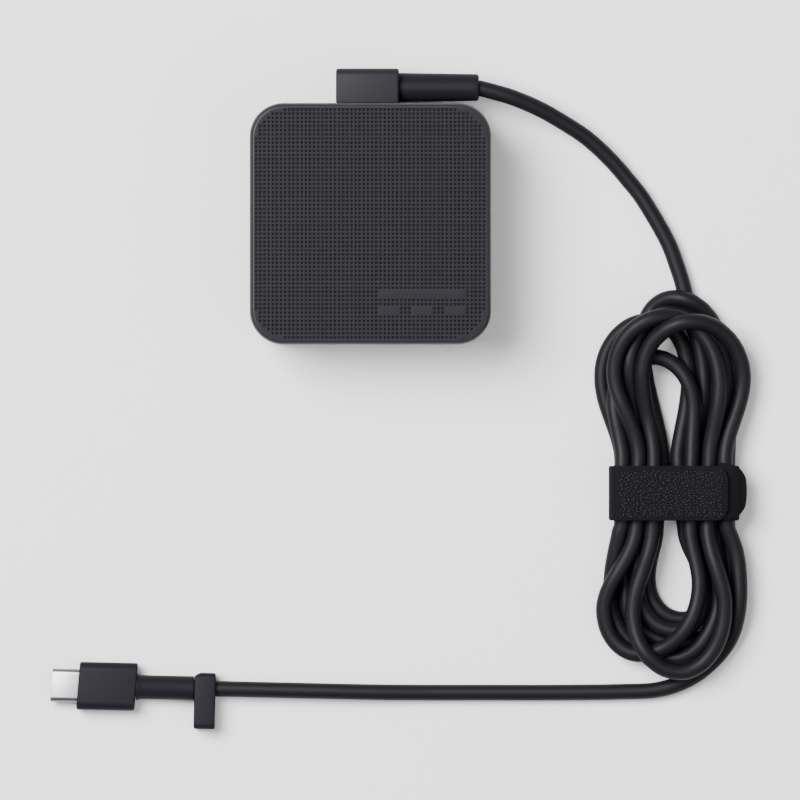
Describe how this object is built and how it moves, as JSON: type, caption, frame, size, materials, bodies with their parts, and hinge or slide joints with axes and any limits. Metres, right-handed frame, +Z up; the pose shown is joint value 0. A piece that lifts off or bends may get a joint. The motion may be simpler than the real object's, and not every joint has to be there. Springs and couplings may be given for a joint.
{
  "type": "laptop power adapter",
  "caption": "Square wall-plug power adapter with fold-away blades, a strapped hank of cord and a small reversible plug.",
  "frame": {"origin": "centre of the adapter's rear face, on the surface that the adapter, the hank and the plug lie on", "axes": "+Z up, out of the textured front face; +Y towards the cord outlet; +X the way the cord leaves it"},
  "size_m": [0.1742, 0.1645, 0.028],
  "materials": {
    "case_plastic": "fine satin texture",
    "outlet_plastic": "satin",
    "carrier_plastic": "satin",
    "label": "matt film",
    "blade_metal": "nickel plated",
    "spring_metal": "bright",
    "board": "solder resist",
    "ferrite": "matt",
    "bobbin": "matt",
    "winding_tape": "polyester film",
    "capacitor_sleeve": "shrunk film",
    "can_metal": "bright",
    "sheet_metal": "mill finish",
    "core_coating": "epoxy",
    "winding_wire": "enamelled copper",
    "component_box": "moulded box",
    "component_ceramic": "matt",
    "component_coat": "epoxy dip",
    "chip_mould": "matt",
    "insulating_film": "clear amber film",
    "red_insulation": "extruded",
    "white_insulation": "extruded",
    "black_insulation": "extruded",
    "moulded_rubber": "satin",
    "cord_jacket": "smooth satin",
    "strap_fabric": "hook-and-loop pile",
    "plug_shell": "nickel plated, satin",
    "plug_plastic": "matt",
    "contact_gold": "gold plated"
  },
  "bodies": {
    "adapter": {"front_cover": "case_plastic", "rear_cover": "case_plastic", "rating_label": "label", "prong_bracket": "carrier_plastic", "contact_spring_left": "spring_metal", "contact_spring_right": "spring_metal", "detent_spring": "spring_metal", "main_board": "board", "transformer_core_lower": "ferrite", "transformer_core_upper": "ferrite", "transformer_bobbin": "bobbin", "transformer_winding": "winding_tape", "bulk_capacitor_1": "capacitor_sleeve", "bulk_capacitor_2": "capacitor_sleeve", "output_capacitor_1": "can_metal", "output_capacitor_2": "can_metal", "choke_core": "core_coating", "choke_winding_1": "winding_wire", "choke_winding_2": "winding_wire", "line_filter_capacitor": "component_box", "line_fuse": "component_ceramic", "thermistor": "component_coat", "safety_capacitor": "component_coat", "bridge_rectifier": "chip_mould", "switch_heat_sink": "sheet_metal", "switching_transistor": "chip_mould", "power_controller": "chip_mould", "optocoupler": "chip_mould", "output_rectifier": "chip_mould", "output_board": "board", "charging_controller": "chip_mould", "lead_positive": "red_insulation", "lead_signal": "white_insulation", "lead_return": "black_insulation", "heat_spreader": "sheet_metal", "insulating_film": "insulating_film", "outlet_block": "outlet_plastic", "strain_relief": "moulded_rubber", "cord_lead": "cord_jacket", "cord_hank": "cord_jacket", "cord_tail": "cord_jacket", "cable_strap": "strap_fabric", "plug_strain_relief": "moulded_rubber", "plug_overmould": "moulded_rubber", "plug_shell": "plug_shell", "plug_insulator": "plug_plastic", "plug_board": "board", "plug_contacts_upper": "contact_gold", "plug_contacts_lower": "contact_gold"},
    "prongs": {"prong_carrier": "carrier_plastic", "prong_left": "blade_metal", "prong_right": "blade_metal"},
    "keeper": {"cord_keeper": "moulded_rubber"}
  },
  "joints": [
    {"name": "prong_fold", "type": "hinge", "parent": "adapter", "child": "prongs", "pos_m": [0, 0.008, 0.0046], "axis": [1, 0, 0], "range_deg": [0, 90]},
    {"name": "keeper_slide", "type": "slide", "parent": "adapter", "child": "keeper", "axis": [0.9998, -0.0223, 0], "range_m": [0, 0.03]}
  ]
}
